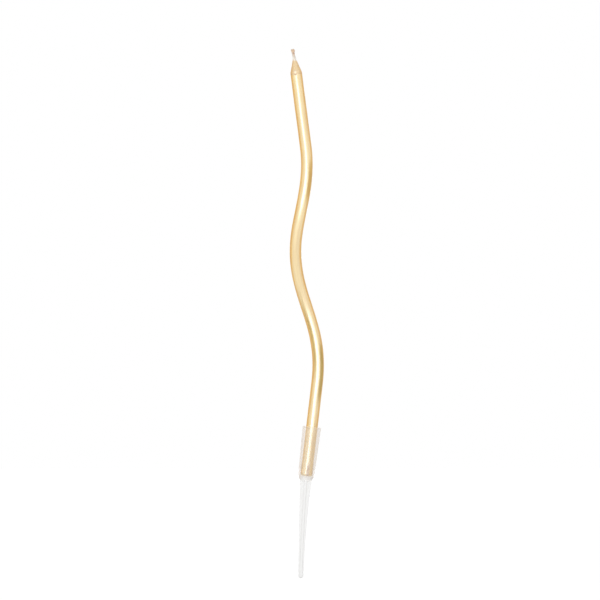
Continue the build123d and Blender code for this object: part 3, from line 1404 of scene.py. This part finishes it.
    def haze(self, level: np.ndarray, inside: np.ndarray, ribs: np.ndarray) -> dict[str, np.ndarray]:
        """How milky, warm and thick the plastic looks.

        Walls are thin, and their outer faces carry the haze; the spike, the shoulder and the ribs are
        thicker and so milkier. The cup carries painted warm light from the gold inside, which the spike
        lacks.

        Args:
            level: heights of the points.
            inside: 1 for points of the bore and its floor, 0 elsewhere.
            ribs: how far each point lies on a rib, from 0 to 1.

        Returns:
            The fields milk, warm, ribs and thick.
        """
        thick = 1 - ease(level - self.floor_height, *self.thick_band)
        outer = self.wall_milk + (1 - self.wall_milk) * thick
        outer = outer - self.lip_clearing * bell(level, self.lip_clearing_width)
        inner = self.bore_milk + self.rib_milk * ribs
        milk = outer * (1 - inside) + inner * inside
        warm = ease(level, *self.warm_band)
        return {"milk": milk, "warm": warm, "ribs": ribs, "thick": thick * (1 - inside) + ribs * inside}

    def rib_columns(self) -> tuple[np.ndarray, np.ndarray]:
        """How the columns meet the ribs inside the cup.

        Returns:
            For each column, how far it lies on a rib, from 0 to 1, and its angle round the bore.
        """
        half = math.asin(self.rib_width / 2 / self.grip_radius)
        foot = self.rib_foot_share * half
        crest = self.rib_crest_share * half
        eighth = math.tau / 8
        marks = np.cumsum((0,) + self.quarter)[[0, 2, 3, 4, 5, 7]]
        column = np.arange(sum(self.quarter))
        angle = np.interp(column, marks, [-eighth, -foot, -crest, crest, foot, eighth])
        on_rib = ease(np.interp(column, marks, [0, 0, 1, 1, 0, 0]), 0, 1)
        quarters = np.arange(4)[:, None] * math.tau / 4
        return np.tile(on_rib, 4), (angle + quarters + self.rib_turn).ravel()


def direction(azimuth: float, elevation: float) -> Vector:
    """Unit direction from the candle: azimuth 0 towards the camera and 90 to the right, in degrees."""
    turn, rise = math.radians(azimuth), math.radians(elevation)
    return Vector((math.sin(turn) * math.cos(rise), -math.cos(turn) * math.cos(rise), math.sin(rise)))


def board(
    name: str, material: bpy.types.Material, middle: np.ndarray, side: np.ndarray, rise: np.ndarray
) -> bpy.types.Object:
    """A flat rectangle for the studio.

    Args:
        name: the board's name.
        material: what it is made of.
        middle: its middle.
        side, rise: half of its two edges, as vectors.

    Returns:
        The Blender object.
    """
    low = middle - rise
    high = middle + rise
    corners = np.stack([low - side, low + side, high + side, high - side])
    mesh = bpy.data.meshes.new(name)
    mesh.from_pydata(corners.tolist(), [], [(0, 1, 2, 3)])
    mesh.materials.append(material)
    return placed(name, mesh)


@dataclass(frozen=True)
class Softbox:
    """A soft lamp aimed at the candle, hung at a distance in a direction from there."""

    name: str
    width: float
    height: float
    distance: float
    azimuth: float
    elevation: float
    radiance: float

    def hang(self, target: Vector) -> None:
        """Hang the lamp; its power is its radiance times pi times its area.

        Args:
            target: the point that it faces.
        """
        lamp = bpy.data.lights.new(self.name, "AREA")
        lamp.shape = "RECTANGLE"
        lamp.size = self.width
        lamp.size_y = self.height
        lamp.energy = self.radiance * math.pi * self.width * self.height
        made = placed(self.name, lamp)
        out = direction(self.azimuth, self.elevation)
        made.location = target + out * self.distance
        made.rotation_euler = (-out).to_track_quat("-Z", "Y").to_euler()
        made.visible_camera = False
        log.info("%s hangs at %s", self.name, tuple(round(x, 3) for x in made.location))


@dataclass(frozen=True)
class Card:
    """A reflector card beside the candle, gold or dark, which only gloss sees."""

    name: str
    width: float
    height: float
    distance: float
    azimuth: float
    level: float
    brightness: float
    gold: Colour = (1.0, 0.5, 0.22, 1.0)

    def stand(self) -> None:
        """Stand the card upright at its level, facing the candle."""
        material = bpy.data.materials.new(self.name)
        graph = Graph(material)
        glow = graph.add("ShaderNodeEmission", feeds={"Color": self.gold, "Strength": self.brightness})
        graph.add("ShaderNodeOutputMaterial", feeds={"Surface": glow})
        out = np.array(direction(self.azimuth, 0))
        side = np.cross(out, (0, 0, 1)) * self.width / 2
        rise = np.array([0, 0, self.height / 2])
        made = board(self.name, material, out * self.distance + np.array([0, 0, self.level]), side, rise)
        made.visible_camera = False
        made.visible_diffuse = False
        made.visible_shadow = False
        made.visible_transmission = False


@dataclass
class Studio:
    """Camera, lamps, reflector cards, white surroundings and floor."""

    frame_height: float = 249.4 * MM
    aim: Vector = field(default_factory=lambda: Vector((-2.36 * MM, -2.6 * MM, 75.1 * MM)))
    lens: float = 180.0
    fill: float = 0.533
    floor_half_width: float = 0.8
    floor_colour: Colour = paint(235, 235, 235)
    floor_glow: float = 0.5
    lamps: tuple[Softbox, ...] = (
        Softbox(
            "key_strip",
            width=0.118, height=0.635, distance=1.1,
            azimuth=-11.66, elevation=5.0, radiance=16.7,
        ),
        Softbox(
            "front_fill",
            width=0.786, height=0.3, distance=1.2,
            azimuth=12.63, elevation=2.39, radiance=2.21,
        ),
        Softbox(
            "back_strip",
            width=0.12, height=0.7, distance=1.2,
            azimuth=174, elevation=14, radiance=6.0,
        ),
    )
    cards: tuple[Card, ...] = (
        Card(
            "right_card",
            width=0.022, height=0.028, distance=0.0212,
            azimuth=80.0, level=0.0465, brightness=0.0,
        ),
        Card(
            "lower_card",
            width=0.0373, height=0.034, distance=0.0212,
            azimuth=71.4, level=0.003, brightness=0.5,
        ),
        Card(
            "upper_card",
            width=0.026, height=0.022, distance=0.0211,
            azimuth=58.0, level=0.1243, brightness=0.35,
        ),
        Card(
            "left_card",
            width=0.018, height=0.014, distance=0.0160,
            azimuth=-66.0, level=0.0565, brightness=0.0,
        ),
        Card(
            "left_reflector",
            width=0.376, height=0.6, distance=0.2,
            azimuth=-127.8, level=0.0751, brightness=0.9,
        ),
        Card(
            "right_reflector",
            width=0.2, height=0.6, distance=0.2,
            azimuth=116.8, level=0.0751, brightness=0.96,
        ),
    )

    def build(self, floor_height: float) -> None:
        """Set up everything round the candle.

        Args:
            floor_height: the level of the floor.
        """
        self.set_camera()
        self.light_air()
        for lamp in self.lamps:
            lamp.hang(self.aim)
        for card in self.cards:
            card.stand()
        self.lay_floor(floor_height)
        bpy.context.scene.view_settings.view_transform = "Standard"

    def set_camera(self) -> None:
        """Stand the camera level in front, as far off as the lens needs for the frame's height."""
        camera = bpy.data.cameras.new("camera")
        camera.lens = self.lens
        made = placed("camera", camera)
        away = self.frame_height * self.lens / camera.sensor_width
        made.location = self.aim + direction(0, 0) * away
        made.rotation_euler = (math.pi / 2, 0, 0)
        bpy.context.scene.camera = made

    def light_air(self) -> None:
        """White surroundings: full white to the camera, in gloss and through plastic, dimmer as a light."""
        world = bpy.data.worlds.new("white_air")
        bpy.context.scene.world = world
        graph = Graph(world)
        white = graph.add("ShaderNodeBackground", feeds={"Color": (1, 1, 1, 1), "Strength": 1.0})
        dim = graph.add("ShaderNodeBackground", feeds={"Color": (1, 1, 1, 1), "Strength": self.fill})
        air = graph.add("ShaderNodeMixShader", feeds={0: graph.shown(), 1: dim, 2: white})
        graph.add("ShaderNodeOutputWorld", feeds={"Surface": air})

    def lay_floor(self, height: float) -> None:
        """A white floor under the spike's point that shows the candle's shadow and nothing else.

        Args:
            height: the floor's level.
        """
        material = bpy.data.materials.new("white_floor")
        graph = Graph(material)
        matt = graph.add("ShaderNodeBsdfDiffuse", feeds={"Color": self.floor_colour})
        glow = graph.add("ShaderNodeEmission", feeds={"Strength": graph.shown() * self.floor_glow})
        lit = graph.add("ShaderNodeAddShader", feeds={0: matt, 1: glow})
        graph.add("ShaderNodeOutputMaterial", feeds={"Surface": lit})
        side, back, up = np.eye(3)
        half = self.floor_half_width
        floor = board("floor", material, height * up, half * side, half * back)


def main() -> None:
    """Build the candle, its holder and the studio, with the floor at the bottom of the model's bounds."""
    logging.basicConfig(level=logging.INFO, format="%(name)s: %(message)s")
    lean = Lean()
    Candle(Route(lean)).build()
    Holder(lean).build()
    Studio().build(cad_box[0].z)


if __name__ == "__main__":
    main()
